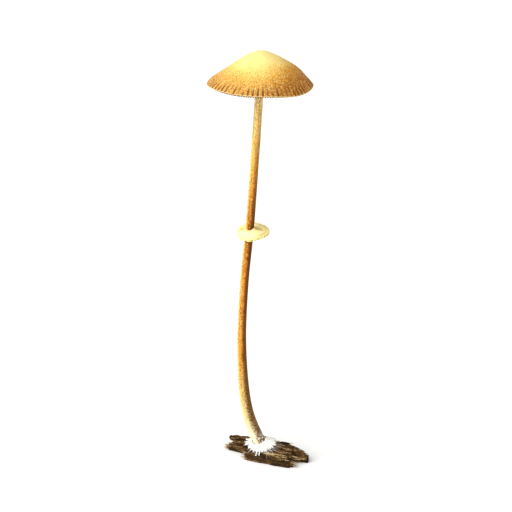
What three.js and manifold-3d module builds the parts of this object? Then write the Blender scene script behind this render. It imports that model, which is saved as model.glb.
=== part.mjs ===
// A small ringed toadstool growing from a scrap of rotten wood.
// Millimetres, +Z up. The origin is on the flat underside of the wood, below its middle.
// +X is to the right and +Y is away from someone who looks at the toadstool from the front.
import * as THREE from "three";
import { mergeVertices } from "three/addons/utils/BufferGeometryUtils.js";
import Module from "manifold-3d";

// Driving dimensions of the cap
const CAP_RADIUS = 12;
const CAP_HEIGHT = 7.75;
const CAP_CENTRE = new THREE.Vector3(-1.43, 1.5, 91.7); // on the plane of the cap's margin
const CAP_TILT = THREE.MathUtils.degToRad(2.2); // the right side hangs lower
const CAP_SWELL = 1.1; // how much the right flank is fuller than the left
const FLESH_AT_MARGIN = 0.5;
const FLESH_AT_MIDDLE = 1.3;
const STRIA_DEPTH = 0.11; // ribs of the margin, one above each gill
const STRIA_LENGTH = 3.2;
const CAP_RINGS = 9;

// Driving dimensions of the gills
const LONG_GILLS = 16;
const GILL_COUNT = 4 * LONG_GILLS;
const GILL_THICKNESS = 0.6;
const GILL_ROOF = 0.5; // the layer that the gills hang from
const GILL_RISE = 1.5; // of the lower edges, from the margin to the stem
const GILL_SLANT = 1.7; // length of a gill's slanted inner end
const GILL_OUTER = 11.1;
const GILL_INNER = { long: 1.75, middle: 4.8, short: 8.1 };

// Driving dimensions of the stem
const STEM_TOP_RADIUS = 0.97;
const STEM_RING_RADIUS = 1.02;
const STEM_FOOT_RADIUS = 1.62;
const STEM_SIDES = 16;
const STEM_STEPS = 40;
// The stem leaves the wood slanting to the left, turns upright and then leans a little to the right.
const STEM_LINE = new THREE.CatmullRomCurve3([
  new THREE.Vector3(0.1, 0.1, 1.3),
  new THREE.Vector3(-2.1, -0.1, 5.3),
  new THREE.Vector3(-4.5, -0.4, 12.5),
  new THREE.Vector3(-5.75, -0.7, 27),
  new THREE.Vector3(-5.25, -0.2, 43),
  new THREE.Vector3(-3.85, 0.7, 58),
  new THREE.Vector3(-2.55, 1.3, 76),
  new THREE.Vector3(-1.65, 1.5, 90),
  new THREE.Vector3(-1.34, 1.5, 97.3),
]);

// Driving dimensions of the ring on the stem
const RING_HEIGHT = 57.5; // where it leaves the stem, above the surface that the wood lies on
const RING_RADIUS = 3.75;
const RING_SHIFT = 0.85; // the membrane is wider on the right
const RING_DROOP = 0.6; // of the edge, below the middle
const RING_TILT = THREE.MathUtils.degToRad(12); // the front edge hangs lower than the back
const RING_FLAP = 0.45; // how much further a torn flap at the front left hangs
const RING_SIDES = 60;

// Driving dimensions of the mycelium
const FELT_RADIUS = 3;
const FELT_HEIGHT = 1.4;
const FELT_SHIFT = new THREE.Vector3(0.15, -0.15, 0); // the felt is fuller on the right
const THREAD_COUNT = 26;
const THREAD_WIDTH = 0.62;
const THREAD_REACH = { least: 3.4, most: 4.4 };

// Driving dimensions of the wood
const WOOD_LENGTH = 21.8;
const WOOD_HEIGHT = 3.4;
const WOOD_TURN = THREE.MathUtils.degToRad(-26); // the right end is nearer
const WOOD_FRONT = -4.2; // across the grain
const WOOD_BACK = 7;

const GAP = 0.3; // between neighbouring pieces
const SLIVER = 0.02; // steps finer than this are smoothed away
const SEED = 7;

const wasm = await Module();
wasm.setup();

// Repeatable random numbers from 0 to 1
function randomFrom(seed) {
  let state = seed;
  return () => {
    state = (state * 1664525 + 1013904223) % 4294967296;
    return state / 4294967296;
  };
}

function between(low, high, share) {
  return low + (high - low) * share;
}

// A closed geometry as a solid that can be joined and cut
function solidOf(geometry) {
  const bare = geometry.clone();
  bare.deleteAttribute("normal");
  bare.deleteAttribute("uv");
  const merged = mergeVertices(bare, 1e-4);
  return new wasm.Manifold(
    new wasm.Mesh({
      numProp: 3,
      vertProperties: new Float32Array(merged.attributes.position.array),
      triVerts: new Uint32Array(merged.index.array),
    }),
  );
}

function geometryOf(solid) {
  const { vertProperties, triVerts } = solid.getMesh();
  const geometry = new THREE.BufferGeometry();
  geometry.setAttribute("position", new THREE.BufferAttribute(new Float32Array(vertProperties), 3));
  geometry.setIndex(new THREE.BufferAttribute(new Uint32Array(triVerts), 1));
  return geometry;
}

// The biggest of a solid's bodies, without slivers
function largestBody(solid) {
  const bodies = solid.decompose();
  const largest = bodies.reduce((best, body) => (body.volume() > best.volume() ? body : best));
  return largest.simplify(SLIVER);
}

// Moves each vertex of a geometry by a function of its place
function reshape(geometry, move) {
  const position = geometry.getAttribute("position");
  const point = new THREE.Vector3();
  for (let i = 0; i < position.count; i++) {
    point.fromBufferAttribute(position, i);
    move(point);
    position.setXYZ(i, point.x, point.y, point.z);
  }
  return geometry;
}

// A solid turned about +Z from a profile of radii and heights that runs anticlockwise
function turned(profile, sides) {
  return new THREE.LatheGeometry(profile, sides).rotateX(Math.PI / 2);
}

// A closed skin over a row of rings, which all have the same number of points
function loft(rings) {
  const sides = rings[0].length;
  const middle = (ring) => ring.reduce((sum, p) => sum.add(p), new THREE.Vector3()).divideScalar(sides);
  const points = [...rings.flat(), middle(rings[0]), middle(rings.at(-1))];
  const [first, last] = [points.length - 2, points.length - 1];
  const top = (rings.length - 1) * sides;
  const faces = [];
  for (let side = 0; side < sides; side++) {
    const next = (side + 1) % sides;
    for (let row = 0; row < rings.length - 1; row++) {
      const [a, b] = [row * sides + side, row * sides + next];
      faces.push(a, b, b + sides, a, b + sides, a + sides);
    }
    faces.push(first, next, side, last, top + side, top + next);
  }
  const geometry = new THREE.BufferGeometry().setFromPoints(points);
  geometry.setIndex(faces);
  return geometry;
}

// Cap: a rounded cone, thin at its margin

const capOutline = new THREE.SplineCurve([
  new THREE.Vector2(0, CAP_HEIGHT),
  new THREE.Vector2(0.13 * CAP_RADIUS, 0.965 * CAP_HEIGHT),
  new THREE.Vector2(0.26 * CAP_RADIUS, 0.87 * CAP_HEIGHT),
  new THREE.Vector2(0.43 * CAP_RADIUS, 0.69 * CAP_HEIGHT),
  new THREE.Vector2(0.64 * CAP_RADIUS, 0.45 * CAP_HEIGHT),
  new THREE.Vector2(0.84 * CAP_RADIUS, 0.21 * CAP_HEIGHT),
  new THREE.Vector2(0.95 * CAP_RADIUS, 0.075 * CAP_HEIGHT),
  new THREE.Vector2(CAP_RADIUS, 0),
]);

// Height of the cap's top above its margin, at a radius
function capTop(radius) {
  let [inner, outer] = [0, 1];
  while (outer - inner > 1e-6) {
    const share = (inner + outer) / 2;
    if (capOutline.getPoint(share).x < radius) inner = share;
    else outer = share;
  }
  return capOutline.getPoint(inner).y;
}

// Height of the flesh's underside, at a radius
function fleshBottom(radius) {
  const share = 1 - Math.min(radius / CAP_RADIUS, 1);
  return capTop(radius) - between(FLESH_AT_MARGIN, FLESH_AT_MIDDLE, share) * 1.25;
}

function capProfile() {
  const inset = 0.97 * CAP_RADIUS;
  const rows = CAP_RINGS - 2;
  const under = Array.from({ length: rows }, (_, i) => {
    const radius = (inset * i) / (rows - 1);
    return new THREE.Vector2(radius, fleshBottom(radius));
  });
  const over = capOutline.getPoints(CAP_RINGS).reverse();
  over[over.length - 1].x = 0;
  return [...under, ...over];
}

// The right flank is full, the margin rises and falls a little, and the gills follow both.
function shapeHead(point) {
  const { smoothstep } = THREE.MathUtils;
  const near = nearMargin(point);
  const angle = Math.atan2(point.y, point.x);
  const share = Math.hypot(point.x, point.y) / CAP_RADIUS;
  const flank = smoothstep(share, 0.1, 0.8) * (1 - smoothstep(share, 0.74, 1));
  point.z += CAP_SWELL * flank * smoothstep(Math.cos(angle), -0.2, 0.9);
  point.z += near * (0.16 * Math.sin(3 * angle + 0.6) + 0.11 * Math.sin(5 * angle + 2));
  const stretch = 1 + near * 0.012 * Math.sin(4 * angle + 1);
  point.x *= stretch;
  point.y *= stretch;
}

function nearMargin({ x, y }) {
  return THREE.MathUtils.smoothstep(Math.hypot(x, y), CAP_RADIUS - STRIA_LENGTH, CAP_RADIUS);
}

// The upper side of the margin has a rib above each gill.
function ribMargin(point) {
  const radius = Math.min(Math.hypot(point.x, point.y), CAP_RADIUS);
  if (point.z > fleshBottom(radius) + 0.3) {
    point.z += nearMargin(point) * STRIA_DEPTH * Math.cos(GILL_COUNT * Math.atan2(point.y, point.x));
  }
  shapeHead(point);
}

function makeCap() {
  return reshape(turned(capProfile(), 2 * GILL_COUNT), ribMargin);
}

// Gills: thin plates of three lengths under the cap, hung from one thin roof

function roofBottom(radius) {
  return fleshBottom(radius) - GAP - GILL_ROOF;
}

function makeGillRoof() {
  const rows = 5;
  const radii = Array.from({ length: rows }, (_, i) => between(GILL_INNER.long, GILL_OUTER, i / (rows - 1)));
  const under = radii.map((r) => new THREE.Vector2(r, roofBottom(r)));
  const over = radii.toReversed().map((r) => new THREE.Vector2(r, fleshBottom(r) - GAP));
  return turned([...under, ...over, under[0].clone()], GILL_COUNT);
}

// Height of the gills' lower edges, which run almost level from the margin to the stem
function gillEdge(radius) {
  const inwards = (GILL_OUTER - radius) / (GILL_OUTER - GILL_INNER.long);
  return roofBottom(GILL_OUTER) + GILL_RISE * inwards;
}

// One plate, standing on the plane y = 0 between two radii. Its inner end is notched or slanted.
function makeGill(inner) {
  const full = Math.min(inner + GILL_SLANT, 0.94 * GILL_OUTER);
  const edge = [inner, full, 0.9 * GILL_OUTER, GILL_OUTER].map((radius) => {
    const share = THREE.MathUtils.smoothstep(radius, inner - 0.6, full);
    return new THREE.Vector2(radius, between(roofBottom(radius), gillEdge(radius), share));
  });
  const sunk = [1, 0.75, 0.5, 0.25, 0].map((share) => {
    const radius = between(inner, GILL_OUTER, share);
    return new THREE.Vector2(radius, roofBottom(radius) + 0.6 * GILL_ROOF);
  });
  const plate = new THREE.ExtrudeGeometry(new THREE.Shape([...edge, ...sunk]), {
    depth: GILL_THICKNESS,
    bevelEnabled: false,
  });
  return plate.translate(0, 0, -GILL_THICKNESS / 2).rotateX(Math.PI / 2);
}

function makeGills() {
  const plates = Object.fromEntries(
    Object.entries(GILL_INNER).map(([kind, inner]) => [kind, makeGill(inner)]),
  );
  const kinds = ["long", "short", "middle", "short"];
  const turn = (2 * Math.PI) / GILL_COUNT;
  const solids = Array.from({ length: GILL_COUNT }, (_, i) =>
    solidOf(plates[kinds[i % kinds.length]].clone().rotateZ(i * turn)),
  );
  return reshape(geometryOf(wasm.Manifold.union([solidOf(makeGillRoof()), ...solids])), shapeHead);
}

// Stem: a slim rod, slightly thicker towards its foot, along a bent line

function stemRadius(share) {
  const upper = between(STEM_RING_RADIUS, STEM_TOP_RADIUS, THREE.MathUtils.smoothstep(share, 0.55, 0.95));
  return between(STEM_FOOT_RADIUS, upper, THREE.MathUtils.smoothstep(share, -0.1, 0.42) ** 0.8);
}

// Rings of points round the stem's line, wider than the stem by a clearance
function stemRings(clearance, start, end) {
  return Array.from({ length: STEM_STEPS + 1 }, (_, i) => {
    const share = between(start, end, i / STEM_STEPS);
    const centre = STEM_LINE.getPointAt(share);
    const along = STEM_LINE.getTangentAt(share);
    const across = new THREE.Vector3(1, 0, 0).addScaledVector(along, -along.x).normalize();
    const third = along.clone().cross(across);
    const radius = stemRadius(share) + clearance;
    return Array.from({ length: STEM_SIDES }, (_, side) => {
      const angle = (2 * Math.PI * side) / STEM_SIDES;
      return centre
        .clone()
        .addScaledVector(across, radius * Math.cos(angle))
        .addScaledVector(third, radius * Math.sin(angle));
    });
  });
}

function stemShareAt(height) {
  let [low, high] = [0, 1];
  while (high - low > 1e-6) {
    const share = (low + high) / 2;
    if (STEM_LINE.getPointAt(share).z < height) low = share;
    else high = share;
  }
  return low;
}

const STEM_FOOT_SHARE = GAP / STEM_LINE.getLength();
const STEM_TOP_SHARE = stemShareAt(CAP_CENTRE.z + fleshBottom(0) - 1.5 * GAP);

function makeStem() {
  return loft(stemRings(0, STEM_FOOT_SHARE, STEM_TOP_SHARE));
}

// What stays free of other pieces round the foot of the stem
function footRoom() {
  const above = stemShareAt(2 * WOOD_HEIGHT + FELT_HEIGHT);
  return solidOf(loft(stemRings(GAP, 0, above)));
}

// Ring: a torn membrane that droops from the stem, with a rolled edge and a short sleeve below

function ringProfile() {
  const bore = STEM_RING_RADIUS + GAP;
  const edge = RING_RADIUS;
  return [
    [bore, -1.5],
    [bore + 0.4, -1.35],
    [0.5 * edge, -0.95],
    [0.8 * edge, -0.6],
    [0.96 * edge, -0.45],
    [edge, -0.12],
    [0.96 * edge, 0.14],
    [0.86 * edge, 0.2],
    [0.66 * edge, 0.04],
    [0.5 * edge, -0.04],
    [bore + 0.25, 0.15],
    [bore, 0.25],
    [bore, -1.5],
  ].map(([radius, height]) => new THREE.Vector2(radius, height));
}

// The edge is torn at the front left, waved and finely notched, and drawn out to the right.
function tearRing(point) {
  const { smoothstep } = THREE.MathUtils;
  const radius = Math.hypot(point.x, point.y);
  const angle = Math.atan2(point.y, point.x);
  const out = smoothstep(radius, STEM_RING_RADIUS + 2 * GAP, RING_RADIUS);
  const flap = smoothstep(angle, -2.9, -2.55) * (1 - smoothstep(angle, -2.1, -1.1));
  point.z += out * (Math.tan(RING_TILT) * point.y - RING_DROOP - RING_FLAP * flap);
  point.z += out * 0.06 * Math.sin(5 * angle);
  const notch = Math.cos((RING_SIDES / 2) * angle);
  const stretch = 1 + out * (0.02 * notch + 0.05 * flap);
  point.x = point.x * stretch + out * RING_SHIFT;
  point.y *= stretch;
}

function makeRing() {
  const ring = reshape(turned(ringProfile(), RING_SIDES), tearRing);
  const centre = STEM_LINE.getPointAt(stemShareAt(RING_HEIGHT));
  return ring.translate(...centre);
}

// Wood: splinters of many lengths side by side, rounded over the top, flat below

// Height of the wood's upper side, along and across the grain
function woodTop(along, across) {
  const middle = (WOOD_FRONT + WOOD_BACK) / 2;
  const half = (WOOD_BACK - WOOD_FRONT) / 2;
  const fallAcross = 1 - 0.62 * Math.abs((across - middle + 0.8) / half) ** 2.2;
  const fallAlong = 1 - 0.25 * Math.abs((2 * along) / WOOD_LENGTH) ** 3;
  return WOOD_HEIGHT * Math.max(fallAcross, 0.2) * Math.max(fallAlong, 0.3);
}

// Each splinter's place across the grain, its width, its two ends along the grain, how far an end
// that has torn loose stands off the ground, and how far a worn left end sinks
const SPLINTERS = [
  { across: 5.6, width: 1.8, from: -3.7, to: 1.8 },
  { across: 4.7, width: 1.7, from: -7.4, to: 4.6 },
  { across: 3.7, width: 1.7, from: -9.6, to: 6.3, leftLift: 0.9 },
  { across: 2.8, width: 1.6, from: -11.1, to: 8.7, leftLift: 1.7, rightLift: 1.1 },
  { across: 1.9, width: 1.5, from: -9.7, to: 8.1, leftLift: 1.4 },
  { across: 1.2, width: 1.4, from: -8.4, to: 10.7, leftSink: 0.9 },
  { across: 0.4, width: 1.4, from: -10.7, to: 8.7, leftSink: 0.8 },
  { across: -0.3, width: 1.3, from: -9.7, to: 7.9, leftSink: 0.5 },
  { across: -1.2, width: 1.5, from: -5.0, to: 7.4 },
  { across: -2.0, width: 1.5, from: -4.3, to: 7.7 },
  { across: -2.8, width: 1.4, from: -4.0, to: 8.6 },
  { across: -3.5, width: 1.3, from: -3.9, to: 8.0 },
];
const SPLINTER_TAPER = 2.6;
const SPLINTER_STEPS = 10;

function makeSplinter(splinter, random) {
  const { across, width, from, to, leftLift = 0, rightLift = 0, leftSink = 0 } = splinter;
  const { smoothstep } = THREE.MathUtils;
  const leftTip = between(0.3, 0.7, random());
  const rightTip = between(0.2, 0.5, random());
  const sections = Array.from({ length: SPLINTER_STEPS + 1 }, (_, i) => {
    const along = between(from, to, 0.5 - 0.5 * Math.cos((Math.PI * i) / SPLINTER_STEPS));
    const left = along - from;
    const right = to - along;
    const fill = Math.min(1, leftTip + left / SPLINTER_TAPER, rightTip + right / SPLINTER_TAPER);
    const half = (width / 2) * fill;
    const middle = across + between(-0.14, 0.14, random());
    const bottom = leftLift * smoothstep(-left, -3.4, 0) + rightLift * smoothstep(-right, -3.4, 0);
    const height = woodTop(along, across) * between(0.78, 1, random()) * between(0.5, 1, fill);
    const top = Math.max(height - leftSink * smoothstep(-left, -4, 0), bottom + 0.6);
    return [
      [middle - half, bottom],
      [middle - 1.05 * half, between(bottom, top, 0.55)],
      [middle - 0.62 * half, between(bottom, top, 0.95)],
      [middle + 0.3 * half, top],
      [middle + 0.95 * half, between(bottom, top, 0.72)],
      [middle + half, bottom],
    ].map(([v, z]) => new THREE.Vector3(along, v, z));
  });
  return loft(sections.map((ring) => ring.toReversed()));
}

function makeWoodSolid() {
  const random = randomFrom(SEED);
  const splinters = SPLINTERS.map((one) => solidOf(makeSplinter(one, random).rotateZ(WOOD_TURN)));
  return wasm.Manifold.union(splinters).simplify(SLIVER);
}

// Mycelium: a low felt round the foot of the stem, with threads that run out over the wood

function woodTopAt(x, y) {
  const place = new THREE.Vector3(x, y, 0).applyAxisAngle(new THREE.Vector3(0, 0, 1), -WOOD_TURN);
  return woodTop(place.x, place.y);
}

const FOOT = STEM_LINE.getPointAt(stemShareAt(WOOD_HEIGHT)).add(FELT_SHIFT);

// The felt lies on the wood and rises round the stem.
function makeFelt() {
  const profile = [
    [0, -1.2],
    [FELT_RADIUS, -1.2],
    [FELT_RADIUS, GAP + 0.12],
    [0.75 * FELT_RADIUS, GAP + 0.4],
    [0.55 * FELT_RADIUS, 0.8 * FELT_HEIGHT],
    [0.3 * FELT_RADIUS, FELT_HEIGHT],
    [0, FELT_HEIGHT],
  ].map(([radius, height]) => new THREE.Vector2(radius, height));
  return reshape(turned(profile, THREAD_COUNT).translate(FOOT.x, FOOT.y, 0), (point) => {
    point.z += woodTopAt(point.x, point.y);
  });
}

function makeThread(angle, reach) {
  const out = new THREE.Vector3(Math.cos(angle), Math.sin(angle), 0);
  const side = new THREE.Vector3(-out.y, out.x, 0);
  const steps = 4;
  const sections = Array.from({ length: steps + 1 }, (_, i) => {
    const share = i / steps;
    const distance = between(0.9, reach, share);
    const centre = FOOT.clone().addScaledVector(out, distance);
    const rise = 0.7 * FELT_HEIGHT * (1 - share) ** 1.6;
    centre.z = woodTopAt(centre.x, centre.y) + GAP + 0.18 + rise;
    const half = (THREAD_WIDTH / 2) * between(1.25, 0.5, share);
    return [
      [half, 0],
      [0, half],
      [-half, 0],
      [0, -2.2 * half],
    ].map(([s, z]) => centre.clone().addScaledVector(side, s).setZ(centre.z + z));
  });
  return loft(sections);
}

function makeMycelium(wood) {
  const random = randomFrom(SEED + 1);
  const threads = Array.from({ length: THREAD_COUNT }, (_, i) => {
    const angle = (2 * Math.PI * (i + between(-0.3, 0.3, random()))) / THREAD_COUNT;
    return solidOf(makeThread(angle, between(THREAD_REACH.least, THREAD_REACH.most, random())));
  });
  const whole = wasm.Manifold.union([solidOf(makeFelt()), ...threads]);
  const lifted = wood.translate([0, 0, GAP]);
  return largestBody(whole.subtract(wood).subtract(lifted).subtract(footRoom()));
}

// The parts in their places

function mesh(name, geometry, colour, roughness) {
  const material = new THREE.MeshStandardMaterial({ color: colour, roughness, metalness: 0 });
  const made = new THREE.Mesh(geometry, material);
  made.name = name;
  return made;
}

const wood = makeWoodSolid();

const head = new THREE.Group();
head.position.copy(CAP_CENTRE);
head.rotation.y = CAP_TILT;
head.add(mesh("cap", makeCap(), 0xe0a548, 0.6));
head.add(mesh("gills", makeGills(), 0xb07a3c, 0.8));

const toadstool = new THREE.Group();
toadstool.add(head);
toadstool.add(mesh("stem", makeStem(), 0xd9a256, 0.6));
toadstool.add(mesh("ring", makeRing(), 0xf6ecb4, 0.7));
toadstool.add(mesh("mycelium", geometryOf(makeMycelium(wood)), 0xf7f2e6, 0.9));
toadstool.add(mesh("wood", geometryOf(largestBody(wood.subtract(footRoom()))), 0x5d4128, 0.9));

export default toadstool;
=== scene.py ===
# %% [markdown]
# # A small ringed toadstool on rotten wood
#
# The solids of the toadstool already have their sizes and places. This lesson dresses them: each
# organ of the fungus is modelled again with a finer surface, and then painted with nodes.
# The solids are loaded first, because every new piece takes its place from them.

# %% Load the solids
import math
from random import Random

import bpy
from mathutils import Matrix, Vector, noise
from mathutils.bvhtree import BVHTree


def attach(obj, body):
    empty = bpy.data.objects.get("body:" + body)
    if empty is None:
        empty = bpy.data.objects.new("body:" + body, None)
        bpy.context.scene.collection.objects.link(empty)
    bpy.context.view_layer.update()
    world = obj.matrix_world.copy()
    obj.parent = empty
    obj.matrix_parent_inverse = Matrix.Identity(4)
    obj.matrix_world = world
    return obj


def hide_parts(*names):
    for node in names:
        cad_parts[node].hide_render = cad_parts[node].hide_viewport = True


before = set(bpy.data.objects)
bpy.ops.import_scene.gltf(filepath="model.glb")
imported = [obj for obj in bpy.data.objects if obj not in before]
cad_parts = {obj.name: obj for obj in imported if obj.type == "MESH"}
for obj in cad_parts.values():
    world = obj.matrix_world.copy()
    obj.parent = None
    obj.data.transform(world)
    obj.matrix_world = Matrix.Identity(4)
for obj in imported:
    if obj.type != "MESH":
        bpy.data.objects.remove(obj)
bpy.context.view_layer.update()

# %% [markdown]
# ## The bench
#
# A toadstool stem is two millimetres thick, which is tiny in metres, and some tools round such
# small numbers off. So every piece is modelled on a bench where one unit is one millimetre, and
# is shrunk to metres when it is done. Operators act on whatever is selected, so a helper selects
# one piece alone before each step.

# %% Bench helpers
MM = 0.001
TURN = 2 * math.pi


def only(piece):
    """Selects one piece alone."""
    bpy.ops.object.select_all(action="DESELECT")
    piece.select_set(True)
    bpy.context.view_layer.objects.active = piece


def between(low, high, share):
    return low + (high - low) * share


def smoothstep(low, high, value):
    share = min(max((value - low) / (high - low), 0.0), 1.0)
    return share * share * (3 - 2 * share)


def sculpt(piece, move):
    """Moves each vertex of a piece, as a sculpting brush would."""
    for vertex in piece.data.vertices:
        move(vertex.co)
    piece.data.update()


def remember(piece):
    """Keeps the present places in an attribute, in metres, so that patterns follow a later bend."""
    kept = piece.data.attributes.new("plain", "FLOAT_VECTOR", "POINT")
    for vertex, slot in zip(piece.data.vertices, kept.data):
        slot.vector = vertex.co * MM


def apply_modifiers(piece):
    only(piece)
    for modifier in list(piece.modifiers):
        bpy.ops.object.modifier_apply(modifier=modifier.name)


def bring_home(piece, name, slot, *nodes):
    """Shrinks a finished piece from the bench to metres, and lets it stand for its solids."""
    only(piece)
    piece.location *= MM
    piece.scale = (MM, MM, MM)
    bpy.ops.object.transform_apply(location=True, rotation=True, scale=True)
    bpy.ops.object.shade_smooth()
    piece.name = name
    piece.data.name = name
    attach(piece, "root")
    if nodes:
        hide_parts(*nodes)
    print(name, "has", sum(len(p.vertices) - 2 for p in piece.data.polygons), "triangles")


# %% [markdown]
# Two ways of starting a piece come back several times. A round organ is a profile that is drawn
# by extruding one vertex from point to point and then spun about the upright axis. A row of
# points is joined by a smooth curve that passes through each of them, so a few well chosen
# points are enough for a profile or for a stem.

# %% Smooth curves and spinning
def span_point(a, b, c, d, share):
    """A point between b and c on a curve that also heads for a and d."""
    t1 = (b - a).length ** 0.5
    t2 = t1 + (c - b).length ** 0.5
    t3 = t2 + (d - c).length ** 0.5
    t = between(t1, t2, share)
    ab = a.lerp(b, t / t1)
    bc = b.lerp(c, share)
    cd = c.lerp(d, (t - t2) / (t3 - t2))
    return ab.lerp(bc, t / t2).lerp(bc.lerp(cd, (t - t1) / (t3 - t1)), share)


def smooth_through(points, steps):
    """Points on a smooth curve that passes through each of the given ones."""
    points = [Vector(p) for p in points]
    line = [2 * points[0] - points[1], *points, 2 * points[-1] - points[-2]]
    made = []
    for corners in zip(line, line[1:], line[2:], line[3:]):
        made += [span_point(*corners, step / steps) for step in range(steps)]
    return [*made, points[-1]]


def spin_profile(profile, steps):
    """Draws a profile of (radius, height) and spins it about the upright axis."""
    bpy.ops.object.select_all(action="DESELECT")
    bpy.ops.mesh.primitive_circle_add(vertices=3, radius=1)
    piece = bpy.context.object
    bpy.ops.object.mode_set(mode="EDIT")
    bpy.ops.mesh.select_all(action="SELECT")
    bpy.ops.mesh.merge(type="CENTER")
    pen = Vector((profile[0][0], 0, profile[0][1]))
    bpy.ops.transform.translate(value=pen)
    for radius, height in profile[1:]:
        step = Vector((radius, 0, height)) - pen
        bpy.ops.mesh.extrude_region_move(TRANSFORM_OT_translate={"value": step})
        pen += step
    bpy.ops.mesh.select_all(action="SELECT")
    bpy.ops.mesh.spin(steps=steps, angle=TURN, center=(0, 0, 0), axis=(0, 0, 1))
    bpy.ops.mesh.select_all(action="SELECT")
    bpy.ops.mesh.remove_doubles(threshold=1e-3)
    bpy.ops.mesh.normals_make_consistent(inside=False)
    bpy.ops.object.mode_set(mode="OBJECT")
    return piece


# %% [markdown]
# ## Cap
#
# The cap is a rounded cone of thin flesh. Its upper side could be cut from a sphere, but a drawn
# profile gives the straight flanks and the narrow rounded top. The profile runs along the
# underside, round the thin lip of the margin and up to the top.

# %% Cap profile
CAP_RADIUS = 12
CAP_HEIGHT = 7.75
CAP_CENTRE = Vector((-1.43, 1.5, 91.7))
CAP_TILT = math.radians(2.2)
GILL_COUNT = 64

cap_shares = [
    (0, 1), (0.13, 0.965), (0.26, 0.87), (0.43, 0.69),
    (0.64, 0.45), (0.84, 0.21), (0.95, 0.075), (1, 0),
]
cap_outline = smooth_through([(r * CAP_RADIUS, 0, z * CAP_HEIGHT) for r, z in cap_shares], 8)


def cap_top(radius):
    """Height of the upper side above the margin."""
    for inner, outer in zip(cap_outline, cap_outline[1:]):
        if outer.x >= radius:
            return between(inner.z, outer.z, (radius - inner.x) / (outer.x - inner.x))
    return cap_outline[-1].z


def flesh_bottom(radius):
    return cap_top(radius) - between(1.6, 0.62, radius / CAP_RADIUS)


underside = [(r, flesh_bottom(r)) for r in (0, 1.5, 3, 4.5, 6, 7.5, 9, 10.2, 11.2)]
lip = [(11.66, -0.2), (11.86, -0.22), (11.97, -0.13)]
upper_side = [(max(p.x, 0), p.z) for p in reversed(cap_outline)]
cap = spin_profile([*underside, *lip, *upper_side], 6 * GILL_COUNT)
remember(cap)
print("cap thickness at its middle in mm:", round(cap_top(0) - flesh_bottom(0), 2))

# %% [markdown]
# On the real cap the thin margin shows a shallow rib above each gill, and its edge is never quite
# round or level. A brush would do it slowly. Here each vertex near the margin is lifted or
# lowered by waves that go round the cap, and a little noise keeps the whole from looking turned.
# The right flank swells out more than the left one.

# %% Cap ribs and waves
CAP_SWELL = 1.1


def near_margin(place):
    return smoothstep(CAP_RADIUS - 3.2, CAP_RADIUS, math.hypot(place.x, place.y))


def shape_head(place):
    near = near_margin(place)
    angle = math.atan2(place.y, place.x)
    share = math.hypot(place.x, place.y) / CAP_RADIUS
    flank = smoothstep(0.1, 0.8, share) * (1 - smoothstep(0.74, 1, share))
    place.z += CAP_SWELL * flank * smoothstep(-0.2, 0.9, math.cos(angle))
    place.z += near * (0.16 * math.sin(3 * angle + 0.6) + 0.11 * math.sin(5 * angle + 2))
    stretch = 1 + near * 0.012 * math.sin(4 * angle + 1)
    place.x *= stretch
    place.y *= stretch


def rib_cap(place):
    radius = min(math.hypot(place.x, place.y), CAP_RADIUS)
    angle = math.atan2(place.y, place.x)
    if place.z > flesh_bottom(radius) + 0.3:
        uneven = 0.6 + 0.5 * noise.noise(Vector((2 * place.x, 2 * place.y, 0)))
        place.z += 0.13 * uneven * near_margin(place) * math.cos(GILL_COUNT * angle)
        place.z += 0.1 * noise.noise(0.45 * place) + 0.035 * noise.noise(1.6 * place)
    shape_head(place)


sculpt(cap, rib_cap)


def seat_on_stem(piece):
    """Tilts a piece of the head and lifts it to the top of the stem."""
    piece.rotation_euler.y = CAP_TILT
    piece.location = CAP_CENTRE


seat_on_stem(cap)
bring_home(cap, "cap_skin", "cap_skin", "cap")

# %% [markdown]
# ## Gills
#
# Under the cap hang thin plates of several lengths: long ones reach the stem and shorter ones
# fill the widening gaps near the margin. One plate of each length is modelled from a grid whose
# rows are moved to the plate's upper and lower edges. A Solidify modifier gives it its thickness,
# and then it is copied round the stem.

# %% One gill of each length
GILL_OUTER = 11.1
GILL_STARTS = {"long": 1.6, "middle": 4.8, "short": 8.1, "least": 9.3}


def gill_edge(radius):
    """Height of the plates' lower edges, which rise gently towards the stem."""
    return flesh_bottom(GILL_OUTER) - 0.8 + 1.5 * (GILL_OUTER - radius) / (GILL_OUTER - 1.75)


def make_gill(start):
    bpy.ops.object.select_all(action="DESELECT")
    bpy.ops.mesh.primitive_grid_add(x_subdivisions=14, y_subdivisions=4, size=1)
    gill = bpy.context.object
    slant = min(start + 1.7, 0.94 * GILL_OUTER)

    def shape(place):
        radius = between(start, GILL_OUTER, place.x + 0.5)
        top = flesh_bottom(radius) + 0.15
        low = between(top - 0.6, gill_edge(radius), smoothstep(start - 0.6, slant, radius))
        place.z = between(low, top, place.y + 0.5)
        place.y = 0.06 * math.sin(1.3 * radius) * (0.5 - place.y)
        place.x = radius

    sculpt(gill, shape)
    wall = gill.modifiers.new("Plate thickness", "SOLIDIFY")
    wall.thickness = 0.26
    wall.offset = 0
    apply_modifiers(gill)
    return gill


gill_kinds = {kind: make_gill(start) for kind, start in GILL_STARTS.items()}
print("gill plates:", list(gill_kinds))

# %% Copies of the gills round the stem
def copy_of(model, turned):
    """A copy with its own mesh, moved by a matrix."""
    copy = bpy.data.objects.new(model.name, model.data.copy())
    bpy.context.scene.collection.objects.link(copy)
    copy.data.transform(turned)
    return copy


def join_all(copies):
    only(copies[0])
    for copy in copies:
        copy.select_set(True)
    bpy.ops.object.join()
    return copies[0]


def drop(*models):
    for model in models:
        bpy.data.objects.remove(model)


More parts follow.
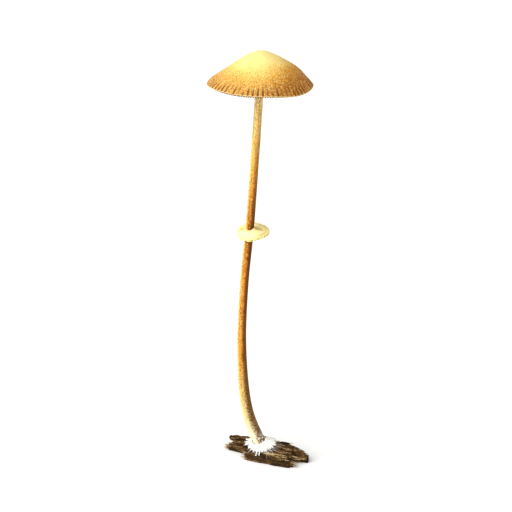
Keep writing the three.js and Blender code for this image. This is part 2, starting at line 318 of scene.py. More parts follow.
gill_order = ["long", "least", "short", "least", "middle", "least", "short", "least"]
gill_draw = Random(3)
plates = []
for i in range(2 * GILL_COUNT):
    turn = TURN * (i + gill_draw.uniform(-0.08, 0.08)) / (2 * GILL_COUNT)
    model = gill_kinds[gill_order[i % len(gill_order)]]
    plates.append(copy_of(model, Matrix.Rotation(turn, 4, "Z")))
gills = join_all(plates)
drop(*gill_kinds.values())
remember(gills)
sculpt(gills, shape_head)
seat_on_stem(gills)
bring_home(gills, "gill_plates", "gill_flesh", "gills")

# %% [markdown]
# ## Stem
#
# The stem is a slender rod that leaves the wood slanting, turns upright and leans the other way.
# It could be extruded ring by ring, but a straight cylinder that a Curve modifier bends is quicker
# to change. The radius of each curve point sets the thickness, so the stem widens at its foot.
# Before the bend the places are remembered, so that the fibres painted later follow the stem.

# %% The stem's line
STEM_POINTS = [
    (0.1, 0.1, 1.3), (-2.1, -0.1, 5.3), (-4.5, -0.4, 12.5), (-5.75, -0.7, 27), (-5.25, -0.2, 43),
    (-3.85, 0.7, 58), (-2.55, 1.3, 76), (-1.65, 1.5, 90), (-1.34, 1.5, 97.3),
]
stem_line = smooth_through(STEM_POINTS, 30)
stem_travel = [0.0]
for low, high in zip(stem_line, stem_line[1:]):
    stem_travel.append(stem_travel[-1] + (high - low).length)
STEM_LENGTH = stem_travel[-1]


def stem_radius(share):
    upper = between(1.02, 0.97, smoothstep(0.55, 0.95, share))
    return between(1.62, upper, smoothstep(-0.1, 0.42, share) ** 0.8)


def stem_at(height):
    """The stem's middle at a height."""
    for low, high in zip(stem_line, stem_line[1:]):
        if high.z >= height:
            return low.lerp(high, (height - low.z) / (high.z - low.z))
    return stem_line[-1]


def draw_stem_line():
    curve = bpy.data.curves.new("stem line", "CURVE")
    curve.dimensions = "3D"
    curve.twist_mode = "MINIMUM"
    spline = curve.splines.new("POLY")
    spline.points.add(len(stem_line) - 1)
    for point, place, travel in zip(spline.points, stem_line, stem_travel):
        share = travel / STEM_LENGTH
        point.co = (*place, 1)
        point.radius = stem_radius(share) * (1 + 0.035 * noise.noise(Vector((0, 0, 0.16 * travel))))
    line = bpy.data.objects.new("stem line", curve)
    bpy.context.scene.collection.objects.link(line)
    return line


print("stem length in mm:", round(STEM_LENGTH, 1))

# %% The stem's rod
STEM_TOP = CAP_CENTRE.z + flesh_bottom(0) + 0.4


def make_rod(sides, length):
    """An upright cylinder of radius 1 with many rings, standing on the origin."""
    bpy.ops.object.select_all(action="DESELECT")
    middle = (0, 0, length / 2)
    bpy.ops.mesh.primitive_cylinder_add(vertices=sides, radius=1, depth=length, location=middle)
    rod = bpy.context.object
    bpy.ops.object.transform_apply(location=True, rotation=False, scale=False)
    return rod


def cut_across(rod, cuts):
    """Cuts the upright edges, as loop cuts would."""
    only(rod)
    bpy.ops.object.mode_set(mode="EDIT")
    bpy.ops.mesh.select_mode(type="EDGE")
    bpy.ops.mesh.select_all(action="DESELECT")
    bpy.ops.object.mode_set(mode="OBJECT")
    places = rod.data.vertices
    for edge in rod.data.edges:
        low, high = (places[v].co for v in edge.vertices)
        edge.select = abs(low.z - high.z) > 1e-4
    bpy.ops.object.mode_set(mode="EDIT")
    bpy.ops.mesh.subdivide(number_cuts=cuts)
    bpy.ops.mesh.select_mode(type="VERT")
    bpy.ops.object.mode_set(mode="OBJECT")


stem = make_rod(40, STEM_LENGTH * (STEM_TOP - 1.6) / (stem_line[-1].z - stem_line[0].z))
cut_across(stem, 15)
cut_across(stem, 15)
remember(stem)
bend = stem.modifiers.new("Bend along the line", "CURVE")
line = draw_stem_line()
bend.object = line
bend.deform_axis = "POS_Z"
apply_modifiers(stem)
drop(line)
side = stem.data.attributes.new("side", "FLOAT", "POINT")
for vertex, slot in zip(stem.data.vertices, side.data):
    slot.value = vertex.normal.x
bring_home(stem, "stem_rod", "stem_flesh", "stem")

# %% [markdown]
# ## Ring
#
# The ring is what is left of the veil that once covered the gills: a soft torn membrane that droops
# from the stem, with a rolled edge and a short sleeve below. It is spun like the cap. Then its edge
# is let droop, more at the front than at the back, and is waved, notched and drawn out to the right.
# At the front left a torn flap hangs lower, and the collar at the stem sinks a little in front.

# %% Ring profile
RING_HEIGHT = 57.5
RING_RADIUS = 3.75
BORE = 1.0

ring_points = [
    (BORE, -1.5), (BORE + 0.5, -1.4), (0.5 * RING_RADIUS, -0.95), (0.8 * RING_RADIUS, -0.56),
    (0.95 * RING_RADIUS, -0.42), (RING_RADIUS, -0.12), (0.965 * RING_RADIUS, 0.14),
    (0.88 * RING_RADIUS, 0.22), (0.78 * RING_RADIUS, 0.12), (0.66 * RING_RADIUS, 0.06),
    (0.52 * RING_RADIUS, 0.0), (0.42 * RING_RADIUS, 0.1), (BORE + 0.12, 0.34), (BORE, 0.3),
]
ring_outline = [(p.x, p.z) for p in smooth_through([(r, 0, z) for r, z in ring_points], 3)]
ring = spin_profile([*ring_outline, ring_outline[0]], 240)
remember(ring)

# %% Ring waves
RING_TILT = math.radians(12)
RING_SHIFT = 0.85
RING_DROOP = 0.6
RING_FLAP = 0.45
COLLAR_SINK = 0.45


def tear_ring(place):
    radius = math.hypot(place.x, place.y)
    angle = math.atan2(place.y, place.x)
    upper = place.z > -0.1
    out = smoothstep(BORE + 0.6, RING_RADIUS, radius)
    flap = smoothstep(-2.9, -2.6, angle) * (1 - smoothstep(-2.1, -1.1, angle))
    place.z += out * (math.tan(RING_TILT) * place.y - RING_DROOP - RING_FLAP * flap)
    place.z += out * (0.06 * math.sin(5 * angle) + 0.03 * math.sin(60 * angle + 3 * noise.noise(place)))
    crease = math.exp(-((place.y + 0.1) / 0.32) ** 2) * smoothstep(1.2, 1.7, radius)
    place.z -= 0.22 * crease * (1 - smoothstep(2.4, 3.2, radius))
    notch = math.cos(30 * angle + 2 * noise.noise(0.8 * place))
    stretch = 1 + out * (0.02 * notch + 0.05 * flap)
    place.x = place.x * stretch + out * RING_SHIFT
    place.y *= stretch
    if upper:
        at_collar = 1 - smoothstep(BORE, BORE + 1.3, radius)
        place.z -= COLLAR_SINK * at_collar * max(0, -math.sin(angle)) ** 3
    place.z += 0.1 * out * noise.noise(0.9 * place)


sculpt(ring, tear_ring)
ring.location = stem_at(RING_HEIGHT)
bring_home(ring, "ring_membrane", "ring_membrane", "ring")

# %% [markdown]
# ## Wood
#
# The toadstool stands on a scrap of rotten wood that has split into splinters along its grain.
# The solid has the splinters, but with flat facets. A copy of it is remeshed into fine even
# faces. Two Displace modifiers then score it with fibres, by clouds that an empty stretches along
# the grain, and a third one pits it. The underside stays flat because its weight is nothing.

# %% A remeshed copy of a solid
WOOD_TURN = math.radians(-26)
WOOD_CELL = 0.13
FELT_CELL = 0.12


def bench_copy(node, cell):
    """A copy of a solid on the bench, with even faces of a given size."""
    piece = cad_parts[node].copy()
    piece.data = piece.data.copy()
    bpy.context.scene.collection.objects.link(piece)
    piece.parent = None
    for key in [k for k in piece.keys() if k.startswith("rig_")]:
        del piece[key]
    piece.data.materials.clear()
    piece.data.transform(Matrix.Scale(1 / MM, 4))
    only(piece)
    bpy.ops.object.mode_set(mode="EDIT")
    bpy.ops.mesh.select_all(action="SELECT")
    bpy.ops.mesh.remove_doubles(threshold=1e-3)
    bpy.ops.object.mode_set(mode="OBJECT")
    even = piece.modifiers.new("Even faces", "REMESH")
    even.mode = "VOXEL"
    even.voxel_size = cell
    apply_modifiers(piece)
    return piece


wood = bench_copy("wood", WOOD_CELL)
print("wood remeshed into", len(wood.data.polygons), "faces")

# %% Fibres of the wood
def roughen(piece, name, size, strength, guide=None, above=None):
    """Pushes a surface in and out by a cloud pattern."""
    clouds = bpy.data.textures.new(name, "CLOUDS")
    clouds.noise_scale = size
    clouds.noise_depth = 2
    push = piece.modifiers.new(name, "DISPLACE")
    push.texture = clouds
    push.strength = strength
    push.texture_coords = "OBJECT" if guide else "LOCAL"
    push.texture_coords_object = guide
    if above is not None:
        group = piece.vertex_groups.new(name=name)
        for vertex in piece.data.vertices:
            group.add([vertex.index], smoothstep(0.05, above, vertex.co.z), "REPLACE")
        push.vertex_group = group.name
    apply_modifiers(piece)


FIBRE_STRETCH = 14
bpy.ops.object.empty_add(rotation=(0, 0, WOOD_TURN))
along_grain = bpy.context.object
along_grain.scale = (FIBRE_STRETCH, 1, 1)
bpy.context.view_layer.update()
roughen(wood, "fibres", 0.45, 0.55, along_grain, 0.9)
roughen(wood, "fine fibres", 0.2, 0.3, along_grain, 0.6)
roughen(wood, "rot", 0.9, 0.3, None, 0.9)
drop(along_grain)
wood_places = [vertex.co for vertex in wood.data.vertices]
wood_faces = [face.vertices for face in wood.data.polygons]
wood_skin = BVHTree.FromPolygons(wood_places, wood_faces)


def wood_height(x, y):
    """Height of the wood's upper side at a place, or nothing beside it."""
    hit = wood_skin.ray_cast(Vector((x, y, 40)), Vector((0, 0, -1)))[0]
    return hit.z if hit else 0.0


print("wood is", round(max(v.co.z for v in wood.data.vertices), 2), "mm high")
bring_home(wood, "wood_scrap", "rotten_wood", "wood")

# %% [markdown]
# Where wood rots, thin slivers come loose and fray its ends. One sliver is made from a
# four-sided rod whose ends are drawn in, and it is laid along the grain many times, each with
# its own length, width and slight turn. The first ones are kept for the ends, to fray them.

# %% Slivers
def make_sliver():
    sliver = make_rod(4, 1)
    cut_across(sliver, 3)

    def taper(place):
        thin = 0.12 + 0.88 * math.sin(math.pi * min(max(place.z, 0), 1)) ** 0.7
        place.x *= thin
        place.y *= thin

    sculpt(sliver, taper)
    return sliver


SLIVER_COUNT = 230
FRAYING_SLIVERS = 70
END_STEP = 1.1

sliver = make_sliver()
sliver_draw = Random(11)
slivers = []
grain = Matrix.Rotation(WOOD_TURN, 4, "Z")
while len(slivers) < SLIVER_COUNT:
    along = sliver_draw.uniform(-10.2, 9.6)
    across = sliver_draw.uniform(-3.9, 6.6)
    place = grain @ Vector((along, across, 0))
    height = wood_height(place.x, place.y)
    if height < 0.5:
        continue
    beyond = place + grain @ Vector((math.copysign(END_STEP, along), 0, 0))
    at_end = wood_height(beyond.x, beyond.y) < 0.3
    if len(slivers) < FRAYING_SLIVERS and not at_end:
        continue
    length = sliver_draw.uniform(1.4, 4.2)
    if at_end:
        height = sliver_draw.uniform(0.35, height)
    width = sliver_draw.uniform(0.06, 0.14)
    lie = Matrix.Rotation(math.radians(90 + sliver_draw.uniform(-5, 5)), 4, "Y")
    yaw = Matrix.Rotation(WOOD_TURN + math.radians(sliver_draw.uniform(-7, 7)), 4, "Z")
    size = Matrix.Diagonal((width, 1.6 * width, length, 1))
    middle = Matrix.Translation((0, 0, -length / 2))
    seat = Matrix.Translation((place.x, place.y, height + 0.02))
    slivers.append(copy_of(sliver, seat @ yaw @ lie @ middle @ size))
wood_slivers = join_all(slivers)
drop(sliver)
bring_home(wood_slivers, "wood_slivers", "rotten_wood")

# %% [markdown]
# ## Mycelium
#
# Round the foot of the stem a white felt of fungus threads runs out over the wood like a star.
# The solid's felt and its thick threads are remeshed and roughened. Finer threads are copies of
# one tapered rod. Each is bent out from the foot and laid over the wood's ridges by measuring
# how high the wood is below each of its rings.

# %% Felt
FELT_CENTRE = stem_at(3.4) + Vector((0.15, -0.15, 0))

felt = bench_copy("mycelium", FELT_CELL)
roughen(felt, "cotton", 0.5, 0.3)
loft = felt.data.attributes.new("loft", "FLOAT", "POINT")
for vertex, slot in zip(felt.data.vertices, loft.data):
    slot.value = vertex.co.z - wood_height(vertex.co.x, vertex.co.y)
bring_home(felt, "mycelium_felt", "mycelium_felt", "mycelium")

# %% Threads
THREAD_COUNT = 140
THREAD_RINGS = 10

thread = make_rod(5, 1)
cut_across(thread, THREAD_RINGS - 1)
thread_draw = Random(5)


def lay_thread(angle, start, reach, width, rise, curl):
    """A copy of the thread that runs out from the foot over the wood's ridges."""
    copy = copy_of(thread, Matrix.Identity(4))

    def out(share):
        way = angle + curl * share * share
        return Vector((math.cos(way), math.sin(way), 0))

    def spot(share):
        return FELT_CENTRE + between(start, reach, share) * out(share)

    below = [wood_height(*spot(ring / THREAD_RINGS).xy) for ring in range(THREAD_RINGS + 1)]
    ridges = [max(below[max(ring - 1, 0):ring + 2]) for ring in range(THREAD_RINGS + 1)]

    def lay(place):
        share = place.z
        across = out(share).cross(Vector((0, 0, 1)))
        half = width * between(1, 0.15, share)
        height = ridges[round(THREAD_RINGS * share)] + rise * (1 - share) ** 1.5
        middle = spot(share) + half * place.x * across
        place.xyz = (middle.x, middle.y, height + half * (0.6 + place.y))

    sculpt(copy, lay)
    return copy


def reach_on_wood(angle, reach):
    """Shortens a thread that would hang over the wood's edge."""
    out = Vector((math.cos(angle), math.sin(angle), 0))
    while reach > 2.6:
        tip = FELT_CENTRE + reach * out
        if wood_height(tip.x, tip.y) > 1.2:
            break
        reach -= 0.2
    return reach


threads = []
for i in range(THREAD_COUNT):
    angle = TURN * (i + thread_draw.uniform(-0.5, 0.5)) / THREAD_COUNT
    reach = between(3.0, 5.6, thread_draw.random() ** 1.3)
    threads.append(lay_thread(
        angle,
        thread_draw.uniform(0.6, 1.8),
        reach_on_wood(angle, reach) * thread_draw.uniform(0.85, 1),
        thread_draw.uniform(0.04, 0.1),
        thread_draw.uniform(0.2, 1.1),
        thread_draw.uniform(-0.12, 0.12),
    ))
print(len(threads), "threads on the wood")

# %% [markdown]
# The same felt climbs a little way up the stem as short white hairs that stand off the skin and
# bend down. They use the same thread, seated on the stem's surface.

# %% Hairs on the foot
def grow_hair(height, angle, length, width):
    copy = copy_of(thread, Matrix.Identity(4))
    middle = stem_at(height)
    along = (stem_at(height + 0.3) - stem_at(height - 0.3)).normalized()
    across = Vector((1, 0, 0)).cross(along).normalized()
    out = math.cos(angle) * across + math.sin(angle) * along.cross(across)
    side = along.cross(out)
    radius = stem_radius(height / STEM_LENGTH)

    def lay(place):
        share = place.z
        half = width * between(1, 0.25, share)
        spot = middle + (radius - 0.1 + length * share * between(1, 0.55, share)) * out
        spot += half * place.x * side + half * place.y * along - 0.55 * length * share * share * along
        place.xyz = spot

    sculpt(copy, lay)
    return copy


HAIR_COUNT = 220
for i in range(HAIR_COUNT):
    threads.append(grow_hair(
        between(3.4, 7.6, thread_draw.random() ** 2.2),
        thread_draw.uniform(0, TURN),
        thread_draw.uniform(0.35, 1.0),
        thread_draw.uniform(0.03, 0.07),
    ))
print(HAIR_COUNT, "hairs on the foot")
mycelium_threads = join_all(threads)
drop(thread)
bring_home(mycelium_threads, "mycelium_threads", "mycelium_felt")

# %% [markdown]
# ## Finishes
#
# Every surface is painted with nodes, with no image. Colours are given as seen on a screen and
# turned into the linear values that the shader expects. A few helpers add a node, join it and
# return its output, so that a finish reads from top to bottom.

# %% Node helpers
def paint(red, green, blue):
    """A screen colour as linear light."""
    def linear(value):
        share = value / 255
        return share / 12.92 if share < 0.04 else ((share + 0.055) / 1.055) ** 2.4
    return (linear(red), linear(green), linear(blue), 1)


def add(tree, kind, settings=None, **inputs):
    """Adds a node. An input is a value or another node's output; i0, i1 mean inputs by number."""
    made = tree.nodes.new("ShaderNode" + kind)
    for key, value in (settings or {}).items():
        setattr(made, key, value)
    for key, value in inputs.items():
        socket = made.inputs[int(key[1:]) if key[1:].isdigit() else key]
        if isinstance(value, bpy.types.NodeSocket):
            tree.links.new(value, socket)
        else:
            socket.default_value = value
    return made


def maths(tree, operation, one, two=0.0):
    return add(tree, "Math", {"operation": operation}, i0=one, i1=two).outputs[0]


def rising(tree, value, low, high):
    """0 below one value, 1 above another, smooth between."""
    settings = {"interpolation_type": "SMOOTHSTEP"}
    return add(tree, "MapRange", settings, i0=value, i1=low, i2=high).outputs[0]


def split(tree, place):
    """The three coordinates of a place."""
    return add(tree, "SeparateXYZ", i0=place).outputs


def cloudy(tree, place, fineness, detail):
    """Soft noise of a fineness per metre."""
    return add(tree, "TexNoise", i0=place, i2=fineness, i3=detail).outputs[0]


def mixed(tree, share, one, two):
    return add(tree, "Mix", {"data_type": "RGBA"}, i0=share, i6=one, i7=two).outputs[2]


def ramp(tree, value, stops):
    """A row of colours along a value."""
    made = add(tree, "ValToRGB", i0=value)
    row = made.color_ramp.elements
    while len(row) < len(stops):
        row.new(0.5)
    for element, (place, colour) in zip(row, stops):
        element.position = place
        element.color = colour
    return made.outputs[0]


# %% [markdown]
# Two effects come back in several finishes, so each is a node group. Specks are the fine grains
# of darker colour that cover cap and stem. Streaks are long thin fibres, made from noise that is
# stretched along the third coordinate.

# %% Node groups for specks and streaks
def new_group(name, output, **inputs):
    group = bpy.data.node_groups.new(name, "ShaderNodeTree")
    for key, value in inputs.items():
        kind = "NodeSocketVector" if key == "Vector" else "NodeSocketFloat"
        made = group.interface.new_socket(key, in_out="INPUT", socket_type=kind)
        if value is not None:
            made.default_value = value
    group.interface.new_socket(output, in_out="OUTPUT", socket_type="NodeSocketFloat")
    given = group.nodes.new("NodeGroupInput").outputs
    result = group.nodes.new("NodeGroupOutput").inputs
    return group, given, result


specks, given, result = new_group("specks", "Mask", Vector=None, Fineness=3000, Amount=0.5)
grains = cloudy(specks, given["Vector"], given["Fineness"], 1.5)
threshold = maths(specks, "MULTIPLY_ADD", given["Amount"], -0.34)
threshold.node.inputs[2].default_value = 0.68
softened = maths(specks, "ADD", threshold, 0.1)
specks.links.new(rising(specks, grains, threshold, softened), result["Mask"])

streaks, given, result = new_group("streaks", "Value", Vector=None, Fineness=2000, Stretch=20)
shrink = maths(streaks, "DIVIDE", 1.0, given["Stretch"])
scale = add(streaks, "CombineXYZ", i0=1.0, i1=1.0, i2=shrink).outputs[0]
multiply = {"operation": "MULTIPLY"}
drawn = add(streaks, "VectorMath", multiply, i0=given["Vector"], i1=scale).outputs[0]
lines = cloudy(streaks, drawn, given["Fineness"], 3.0)
streaks.links.new(lines, result["Value"])
print("node groups:", [g.name for g in bpy.data.node_groups])


# %% A new finish
def new_finish(name, roughness, sheen=0.0):
    material = bpy.data.materials.new(name)
    material.use_nodes = True
    tree = material.node_tree
    shader = tree.nodes["Principled BSDF"]
    shader.inputs["Roughness"].default_value = roughness
    shader.inputs["Sheen Weight"].default_value = sheen
    shader.inputs["Specular IOR Level"].default_value = 0.1
    return material, tree, shader


def plain_places(tree):
    """The places that a piece had before it was bent, from its attribute."""
    return add(tree, "Attribute", {"attribute_name": "plain"}).outputs["Vector"]


def object_places(tree):
    return add(tree, "TexCoord").outputs["Object"]


def from_axis(tree, x, y, whole):
    """Distance from the upright axis, as a share of a whole radius in millimetres."""
    squares = maths(tree, "ADD", maths(tree, "POWER", x, 2), maths(tree, "POWER", y, 2))
    return maths(tree, "DIVIDE", maths(tree, "SQRT", squares), whole * MM)


def shifted(tree, value, noise_value, amount):
    """A value that noise moves up or down."""
    centred = maths(tree, "SUBTRACT", noise_value, 0.5)
    return maths(tree, "ADD", value, maths(tree, "MULTIPLY", centred, amount))


def tinted(tree, colour, tint, strength, *masks):
    """A colour with a tint where all masks are high."""
    share = strength
    for mask in masks:
        share = maths(tree, "MULTIPLY", mask, share)
    return mixed(tree, share, colour, tint)


def grouped(tree, group, **inputs):
    return add(tree, "Group", {"node_tree": group}, **inputs).outputs[0]


def dress(finish, *pieces):
    """Gives pieces their finish."""
    for piece in pieces:
        piece.data.materials.append(finish)
    print(finish.name, "on", [piece.name for piece in pieces])


def finish_with(tree, shader, colour, height, strength, depth):
    """Joins the colour, and a bump from a height pattern, to the shader."""
    bump = add(tree, "Bump", Strength=strength, Distance=depth, Height=height)
    tree.links.new(colour, shader.inputs["Base Color"])
    tree.links.new(bump.outputs[0], shader.inputs["Normal"])


# %% [markdown]
# The cap is pale cream yellow at the top, ochre on the flanks and tawny brown towards the margin,
# with fine grains all over, dark lines in the furrows between the ribs and a thin pale edge. All
# of it depends on the distance from the middle and on the angle round it, which are worked out
# from the places that the cap had before it was tilted.

# %% Cap finish
cap_finish, tree, shader = new_finish("cap finish", 0.55)
place = plain_places(tree)
x, y, z = split(tree, place)
radius = from_axis(tree, x, y, CAP_RADIUS)
angle = maths(tree, "ARCTAN2", y, x)
# Painted shade: the right flank is made browner and keeps fewer pale grains, as if lit from the left.
shaded_right = rising(tree, x, -0.1 * CAP_RADIUS * MM, 0.75 * CAP_RADIUS * MM)
broad = cloudy(tree, place, 240.0, 2.0)
share = shifted(tree, maths(tree, "ADD", radius, maths(tree, "MULTIPLY", shaded_right, 0.18)), broad, 0.24)
colour = ramp(tree, share, [
    (0.0, paint(246, 225, 143)), (0.4, paint(248, 222, 136)), (0.6, paint(247, 204, 102)),
    (0.76, paint(240, 178, 64)), (0.92, paint(226, 152, 44)), (1.0, paint(206, 128, 34)),
])

# %% Cap grains and furrows
across_x = maths(tree, "MULTIPLY", maths(tree, "COSINE", angle), CAP_RADIUS * MM)
across_y = maths(tree, "MULTIPLY", maths(tree, "SINE", angle), CAP_RADIUS * MM)
outward = maths(tree, "MULTIPLY", radius, CAP_RADIUS * MM)
round_cap = add(tree, "CombineXYZ", i0=across_x, i1=across_y, i2=outward).outputs[0]
fibres = grouped(tree, streaks, Vector=round_cap, Fineness=1700.0, Stretch=7.0)
fibre_lines = rising(tree, fibres, 0.52, 0.72)
colour = tinted(tree, colour, paint(194, 120, 30), 0.7, fibre_lines, rising(tree, share, 0.45, 0.95))
amount = maths(tree, "MULTIPLY", rising(tree, share, 0.1, 0.95), 0.82)
dark_grains = grouped(tree, specks, Vector=place, Fineness=5200.0, Amount=amount)
colour = tinted(tree, colour, paint(150, 86, 14), 0.72, dark_grains)
elsewhere = add(tree, "VectorMath", i0=place, i1=(0.3, 0.1, 0.2)).outputs[0]
# Painted shade: fewer pale grains on the right flank.
pale_amount = maths(tree, "SUBTRACT", 0.54, maths(tree, "MULTIPLY", shaded_right, 0.14))
pale_grains = grouped(tree, specks, Vector=elsewhere, Fineness=5000.0, Amount=pale_amount)
colour = tinted(tree, colour, paint(255, 230, 146), 0.65, pale_grains)
furrow = maths(tree, "COSINE", maths(tree, "MULTIPLY", angle, float(GILL_COUNT)))
in_furrow = rising(tree, maths(tree, "MULTIPLY", furrow, -1.0), 0.1, 0.9)
uneven = rising(tree, fibres, 0.36, 0.52)
margin = rising(tree, radius, 0.8, 0.95)
colour = tinted(tree, colour, paint(98, 50, 10), 0.95, in_furrow, uneven, margin)
colour = tinted(tree, colour, paint(250, 224, 150), 0.6, rising(tree, radius, 0.992, 0.999))
bumps = maths(tree, "SUBTRACT", fibres, maths(tree, "MULTIPLY", dark_grains, 0.3))
finish_with(tree, shader, colour, bumps, 0.3, 0.0002)
dress(cap_finish, cap)

# %% [markdown]
# The gills are not seen in the picture. Toadstools of this kind have rusty cinnamon gills with
# paler edges, because the ripening spores colour the sides of the plates first.

# %% Gill finish
gill_finish, tree, shader = new_finish("gill finish", 0.75)
place = plain_places(tree)
x, y, z = split(tree, place)
mottle = cloudy(tree, place, 700.0, 3.0)
depth = maths(tree, "MULTIPLY_ADD", z, 130.0)
colour = ramp(tree, maths(tree, "ADD", depth, mottle), [
    (0.25, paint(214, 160, 92)), (0.5, paint(182, 118, 56)), (0.95, paint(140, 84, 38)),
])
dust = grouped(tree, specks, Vector=place, Fineness=4200.0, Amount=0.5)
colour = tinted(tree, colour, paint(112, 62, 26), 0.5, dust)
finish_with(tree, shader, colour, mottle, 0.3, 0.0002)
dress(gill_finish, gills)

# %% [markdown]
# The stem is silky with long fine fibres. It is almost white at its foot and cream under the cap,
# and orange brown between, darkest around the ring, where the ring's shadow is painted on. Its right
# side is painted dark as shade and its left edge is painted pale as a highlight. The side that a
# surface faces was kept in an attribute of the stem.

# %% Stem finish
stem_finish, tree, shader = new_finish("stem finish", 0.5)
place = plain_places(tree)
x, y, z = split(tree, place)
blotch = cloudy(tree, place, 330.0, 3.0)
travel = shifted(tree, maths(tree, "MULTIPLY", z, 10.0), blotch, 0.1)
# Painted shadow: the stops darken the stem most just below the ring and a little above it.
colour = ramp(tree, travel, [
    (0.03, paint(248, 240, 214)), (0.1, paint(240, 216, 156)), (0.16, paint(234, 190, 108)),
    (0.23, paint(230, 158, 60)), (0.36, paint(222, 140, 42)), (0.48, paint(208, 124, 32)),
    (0.545, paint(168, 92, 22)), (0.6, paint(196, 112, 28)), (0.7, paint(236, 160, 58)),
    (0.82, paint(252, 214, 122)), (0.91, paint(255, 234, 168)),
])
side = add(tree, "Attribute", {"attribute_name": "side"}).outputs["Fac"]
# Painted shade: the side that faces right is darkened by the shade colours below.
shade = ramp(tree, travel, [
    (0.04, paint(146, 106, 58)), (0.16, paint(112, 66, 20)), (0.4, paint(92, 46, 8)),
    (0.62, paint(100, 52, 8)), (0.75, paint(200, 142, 54)), (0.88, paint(252, 220, 146)),
])
shaded = rising(tree, shifted(tree, side, blotch, 0.9), -0.25, 0.55)
colour = tinted(tree, colour, shade, 0.9, shaded, rising(tree, travel, 0.02, 0.05))
# Painted highlight: the edge that faces left is painted pale.
colour = tinted(tree, colour, paint(255, 240, 160), 0.8, rising(tree, side, -0.55, -0.92))

# %% Stem fibres and grains
fibres = grouped(tree, streaks, Vector=place, Fineness=3000.0, Stretch=22.0)
colour = tinted(tree, colour, paint(128, 74, 18), 0.7, rising(tree, fibres, 0.54, 0.7))
pale_fibres = rising(tree, fibres, 0.44, 0.3)
# Painted highlight: the pale fibres are kept to the left, lit side.
colour = tinted(tree, colour, paint(255, 230, 156), 0.5, pale_fibres, rising(tree, side, 0.2, -0.5))
near_foot = rising(tree, z, 0.034, 0.012)
foot_grains = grouped(tree, specks, Vector=place, Fineness=2200.0, Amount=0.74)
# The dark mottles of the foot are its own, but keeping them to its right half is painted shade.
foot_right = rising(tree, side, -0.45, 0.4)
colour = tinted(tree, colour, paint(104, 70, 30), 0.9, foot_grains, near_foot, foot_right)
grains = grouped(tree, specks, Vector=place, Fineness=3000.0, Amount=0.56)
colour = tinted(tree, colour, paint(88, 46, 10), 0.55, grains, rising(tree, travel, 0.04, 0.2))
elsewhere = add(tree, "VectorMath", i0=place, i1=(0.2, 0.3, 0.1)).outputs[0]
pale_grains = grouped(tree, specks, Vector=elsewhere, Fineness=2600.0, Amount=0.5)
# Painted highlight: the pale grains are kept to the left, lit side.
lit = maths(tree, "MULTIPLY", rising(tree, side, 0.5, -0.1), rising(tree, travel, 0.14, 0.22))
colour = tinted(tree, colour, paint(244, 176, 78), 0.6, pale_grains, lit)
finish_with(tree, shader, colour, fibres, 0.5, 0.0003)
dress(stem_finish, stem)

# %% [markdown]
# The ring is a pale cream membrane. Ochre shade is painted in the creases beside the stem and, on
# the right, inside the rolled edge, which has a broken line of darker dots where the veil tore.

# %% Ring finish
ring_finish, tree, shader = new_finish("ring finish", 0.65)
place = plain_places(tree)
x, y, z = split(tree, place)
radius = from_axis(tree, x, y, RING_RADIUS)
blotch = cloudy(tree, place, 420.0, 3.0)
colour = ramp(tree, shifted(tree, radius, blotch, 0.16), [
    (0.3, paint(250, 238, 168)), (0.6, paint(252, 243, 176)), (0.88, paint(252, 244, 182)),
    (0.95, paint(248, 228, 146)), (1.0, paint(250, 238, 168)),
])
# Painted shade: ochre in the creases on either side of the stem.
off_crease = maths(tree, "ABSOLUTE", maths(tree, "ADD", y, 0.0002))
crease = maths(tree, "MULTIPLY", rising(tree, off_crease, 0.0012, 0.0), rising(tree, radius, 0.86, 0.6))
colour = tinted(tree, colour, paint(216, 172, 54), 0.95, crease, rising(tree, radius, 0.3, 0.4))
ribs = cloudy(tree, place, 1500.0, 3.0)
at_rim = rising(tree, radius, 0.95, 0.99)
colour = tinted(tree, colour, paint(150, 118, 48), 0.7, rising(tree, ribs, 0.5, 0.62), at_rim)
# Painted shade: ochre inside the rolled edge, on the right side only.
rim_groove = maths(tree, "MULTIPLY", rising(tree, radius, 0.76, 0.84), rising(tree, radius, 0.92, 0.86))
colour = tinted(tree, colour, paint(222, 184, 84), 0.75, rim_groove, rising(tree, x, -0.001, 0.0025))
finish_with(tree, shader, colour, ribs, 0.25, 0.0002)
dress(ring_finish, ring)

# %% [markdown]
# Rotten wood is dark brown and tan in streaks along the grain, with dark spots of mould. A Mapping
# node turns the pattern so that its third coordinate lies along the grain. The loose slivers are
# paler than the rest.

# %% Wood finish
def make_wood_finish(name, stops):
    finish, tree, shader = new_finish(name, 0.85)
    place = object_places(tree)
    lying = add(tree, "Mapping", i0=place, Rotation=(0, 0, -WOOD_TURN)).outputs[0]
    x, y, z = split(tree, lying)
    along = add(tree, "CombineXYZ", i0=y, i1=z, i2=x).outputs[0]
    fibres = grouped(tree, streaks, Vector=along, Fineness=1500.0, Stretch=14.0)
    rot = cloudy(tree, place, 320.0, 4.0)
    colour = ramp(tree, shifted(tree, fibres, rot, 0.7), stops)
    mould = grouped(tree, specks, Vector=place, Fineness=2400.0, Amount=0.45)
    colour = tinted(tree, colour, paint(34, 22, 10), 0.7, mould)
    finish_with(tree, shader, colour, fibres, 0.7, 0.0004)
    return finish


wood_colours = [
    (0.3, paint(28, 17, 7)), (0.43, paint(56, 38, 18)), (0.56, paint(86, 61, 31)),
    (0.65, paint(130, 100, 58)), (0.76, paint(204, 174, 122)),
]
sliver_colours = [(0.3, paint(66, 46, 24)), (0.5, paint(132, 102, 62)), (0.68, paint(214, 188, 140))]
dress(make_wood_finish("wood finish", wood_colours), wood)
dress(make_wood_finish("sliver finish", sliver_colours), wood_slivers)

# %% [markdown]
# The threads of the mycelium are almost white. The felt below them is white at the stem's foot
# and further out wherever it stands off the wood. Where it is thin near its edge, the brown of
# the wood shows through. How far it stands off was measured when the felt was made.

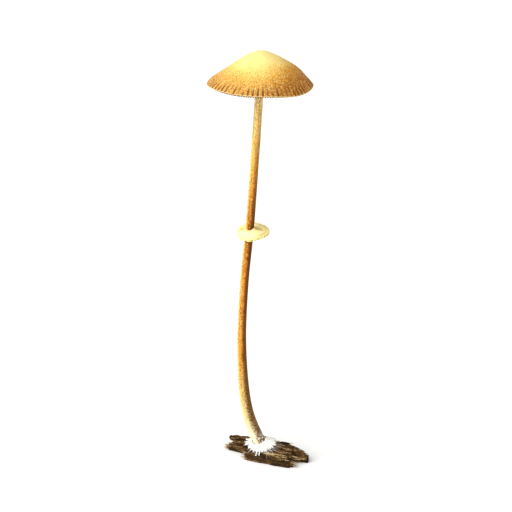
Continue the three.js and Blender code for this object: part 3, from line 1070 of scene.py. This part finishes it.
# %% Mycelium finish
thread_finish, tree, shader = new_finish("thread finish", 0.9, 0.3)
lint = cloudy(tree, object_places(tree), 1500.0, 4.0)
cotton = [(0.3, paint(244, 236, 216)), (0.45, paint(252, 249, 240)), (0.6, paint(255, 255, 252))]
finish_with(tree, shader, ramp(tree, lint, cotton), lint, 0.5, 0.0002)
dress(thread_finish, mycelium_threads)

FELT_REACH = 3.8
felt_finish, tree, shader = new_finish("felt finish", 0.9, 0.2)
place = object_places(tree)
subtract = {"operation": "SUBTRACT"}
from_foot = add(tree, "VectorMath", subtract, i0=place, i1=FELT_CENTRE * MM).outputs[0]
x, y, z = split(tree, from_foot)
radius = from_axis(tree, x, y, FELT_REACH)
loft = add(tree, "Attribute", {"attribute_name": "loft"}).outputs["Fac"]
lint = cloudy(tree, place, 1500.0, 4.0)
thin = rising(tree, shifted(tree, loft, lint, 0.3), 0.38, 0.12)
outer = rising(tree, radius, 0.4, 0.7)
colour = tinted(tree, ramp(tree, lint, cotton), paint(92, 66, 36), 0.9, thin, outer)
finish_with(tree, shader, colour, lint, 0.5, 0.0002)
dress(felt_finish, felt)

# %% [markdown]
# ## Stage, light and camera
#
# A pale floor, a broad soft light from the upper left and a weaker light all round show the form.
# The camera stands where the picture was seen from: a little above, through a long lens, so the
# cap shows its upper side and the wood is seen more from above than the cap is.

# %% Floor and light
bpy.ops.object.select_all(action="DESELECT")
bpy.ops.mesh.primitive_plane_add(size=8, location=(0, 0, -0.00002))
floor = bpy.context.object
floor.name = "floor"
floor_finish, tree, shader = new_finish("floor finish", 0.9)
patches = cloudy(tree, object_places(tree), 3.0, 1.0)
pale = ramp(tree, patches, [(0.3, paint(246, 246, 244)), (0.7, paint(250, 250, 248))])
tree.links.new(pale, shader.inputs["Base Color"])
dress(floor_finish, floor)

bpy.ops.object.light_add(type="SUN", location=(-0.3, -0.3, 0.5))
key = bpy.context.object
key.name = "key light"
key.data.energy = 3.0
key.data.angle = math.radians(60)
light_way = Vector((0.72, 0.42, -0.66))
key.rotation_euler = light_way.to_track_quat("-Z", "Y").to_euler()

world = bpy.context.scene.world or bpy.data.worlds.new("room")
bpy.context.scene.world = world
world.use_nodes = True
room = world.node_tree.nodes["Background"]
room.inputs["Color"].default_value = (1, 1, 1, 1)
room.inputs["Strength"].default_value = 0.6
bpy.context.scene.view_settings.view_transform = "Standard"

# %% Camera
LENS_MM = 139
SENSOR_MM = 36
CAMERA_PLACE = (-0.0024, -0.437, 0.1978)
LOOK_DOWN = math.radians(18.57)

bpy.ops.object.camera_add(location=CAMERA_PLACE, rotation=(math.pi / 2 - LOOK_DOWN, 0, 0))
camera = bpy.context.object
camera.data.lens = LENS_MM
camera.data.sensor_width = SENSOR_MM
bpy.context.scene.camera = camera
print("camera looks down by", round(math.degrees(LOOK_DOWN), 1), "degrees")
